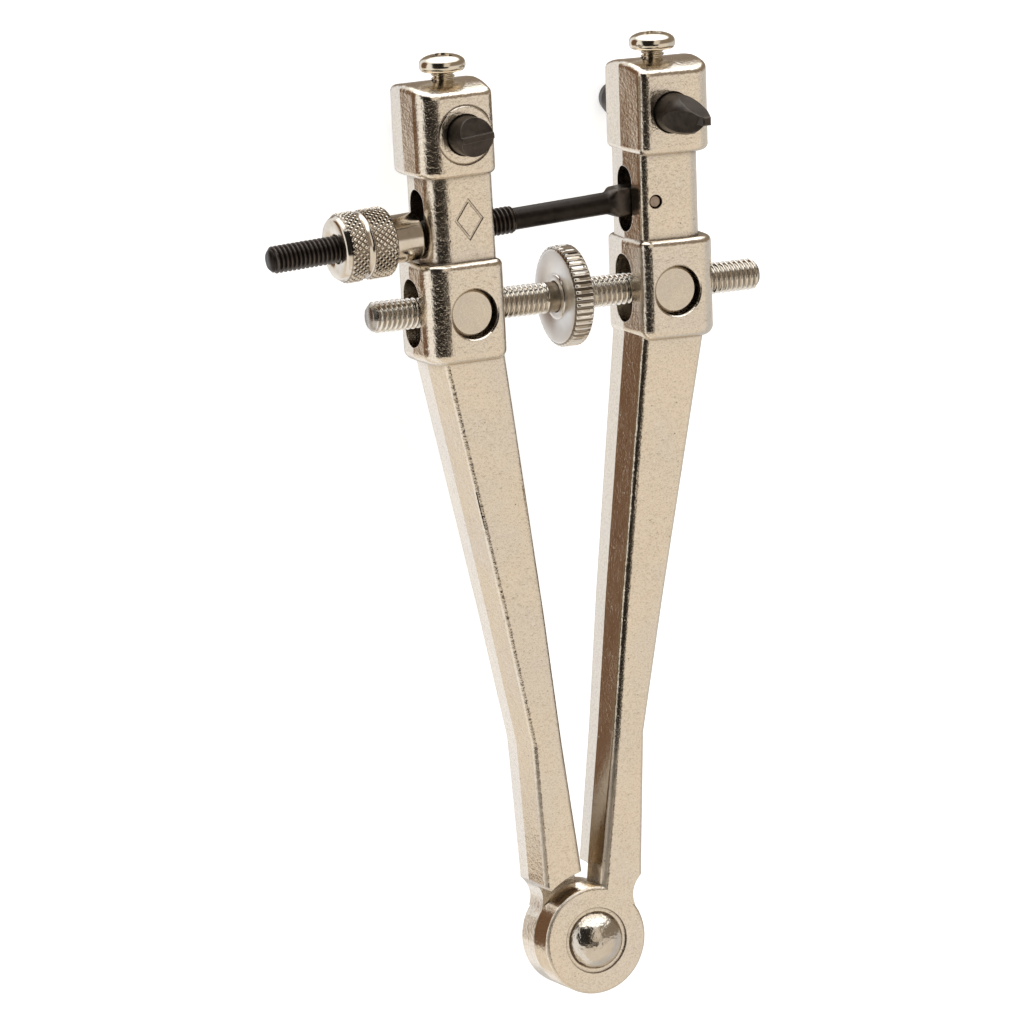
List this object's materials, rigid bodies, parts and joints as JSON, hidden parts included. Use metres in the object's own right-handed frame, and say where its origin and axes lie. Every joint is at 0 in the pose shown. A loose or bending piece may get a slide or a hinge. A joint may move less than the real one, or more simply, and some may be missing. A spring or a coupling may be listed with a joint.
{
  "type": "adjustable case wrench",
  "caption": "V-shaped adjustable case wrench: hinged nickel legs spread by a toothed-wheel screw, locked by a pivoted rod with a knurled nut, and a black bit clamped in each head.",
  "frame": {"origin": "bottom centre of the bounding box, with the tool lying on its back", "axes": "+Y from the hinge towards the jaws, +X to the right-hand leg seen from the front, +Z out of the front face, the way the long bit points"},
  "size_m": [0.0672, 0.1217, 0.0278],
  "materials": {
    "cast_nickel": "nickel-plated casting, satin, slightly warm",
    "bright_nickel": "polished nickel plate",
    "screw_steel": "machined and nickel plated",
    "nut_face": "turned and nickel plated",
    "black_steel": "black oxide",
    "pin_steel": "plain steel, slightly tarnished"
  },
  "bodies": {
    "right_leg": {"right_leg": "cast_nickel", "hinge_rivet": "bright_nickel", "rod_pin": "pin_steel"},
    "left_leg": {"left_leg": "cast_nickel"},
    "right_nut": {"right_trunnion_nut": "nut_face"},
    "left_nut": {"left_trunnion_nut": "nut_face"},
    "screw": {"adjusting_screw": "screw_steel"},
    "wheel": {"adjusting_wheel": "bright_nickel"},
    "lock_rod": {"locking_rod": "black_steel"},
    "lock_nut": {"knurled_nut": "bright_nickel"},
    "right_bit": {"right_bit": "black_steel"},
    "left_bit": {"left_bit": "black_steel"},
    "right_clamp": {"right_clamp_screw": "bright_nickel"},
    "left_clamp": {"left_clamp_screw": "bright_nickel"}
  },
  "joints": [
    {"name": "leg_hinge", "type": "hinge", "parent": "right_leg", "child": "left_leg", "pos_m": [0.00582, -0.05362, 0.0121], "axis": [0, 0, 1], "range_deg": [-8, 5]},
    {"name": "right_nut_pivot", "type": "hinge", "parent": "right_leg", "child": "right_nut", "pos_m": [0.01996, 0.02873, 0.0121], "axis": [0, 0, 1], "range_deg": [-4.5, 3]},
    {"name": "left_nut_pivot", "type": "hinge", "parent": "left_leg", "child": "left_nut", "pos_m": [-0.00831, 0.02873, 0.0121], "axis": [0, 0, 1], "range_deg": [-3, 4.5]},
    {"name": "screw_travel", "type": "slide", "parent": "right_nut", "child": "screw", "axis": [1, 0, 0], "range_m": [-0.004, 0.006]},
    {"name": "wheel_turn", "type": "hinge", "parent": "screw", "child": "wheel", "pos_m": [0.00683, 0.02873, 0.0121], "axis": [1, 0, 0], "continuous": true},
    {"name": "lock_rod_pivot", "type": "hinge", "parent": "right_leg", "child": "lock_rod", "pos_m": [0.01787, 0.04011, 0.0121], "axis": [0, 0, 1], "range_deg": [-3.5, 2.5]},
    {"name": "lock_nut_travel", "type": "slide", "parent": "lock_rod", "child": "lock_nut", "axis": [-0.9986, -0.0529, 0], "range_m": [-0.0135, 0.0085]},
    {"name": "right_bit_slide", "type": "slide", "parent": "right_leg", "child": "right_bit", "axis": [0, 0, 1], "range_m": [-0.003, 0.003]},
    {"name": "left_bit_slide", "type": "slide", "parent": "left_leg", "child": "left_bit", "axis": [0, 0, 1], "range_m": [-0.003, 0.003]},
    {"name": "right_clamp_travel", "type": "slide", "parent": "right_leg", "child": "right_clamp", "axis": [0.0145, 0.9999, 0], "range_m": [0, 0.0025]},
    {"name": "left_clamp_travel", "type": "slide", "parent": "left_leg", "child": "left_clamp", "axis": [-0.0145, 0.9999, 0], "range_m": [0, 0.0025]}
  ],
  "couplings": [
    {"joint": "right_nut_pivot", "follows": "leg_hinge", "ratio": 0.5},
    {"joint": "left_nut_pivot", "follows": "leg_hinge", "ratio": -0.5},
    {"joint": "screw_travel", "follows": "leg_hinge", "m_per_rad": -0.04118},
    {"joint": "lock_rod_pivot", "follows": "leg_hinge", "ratio": 0.38},
    {"joint": "lock_nut_travel", "follows": "leg_hinge", "m_per_rad": 0.0914}
  ]
}
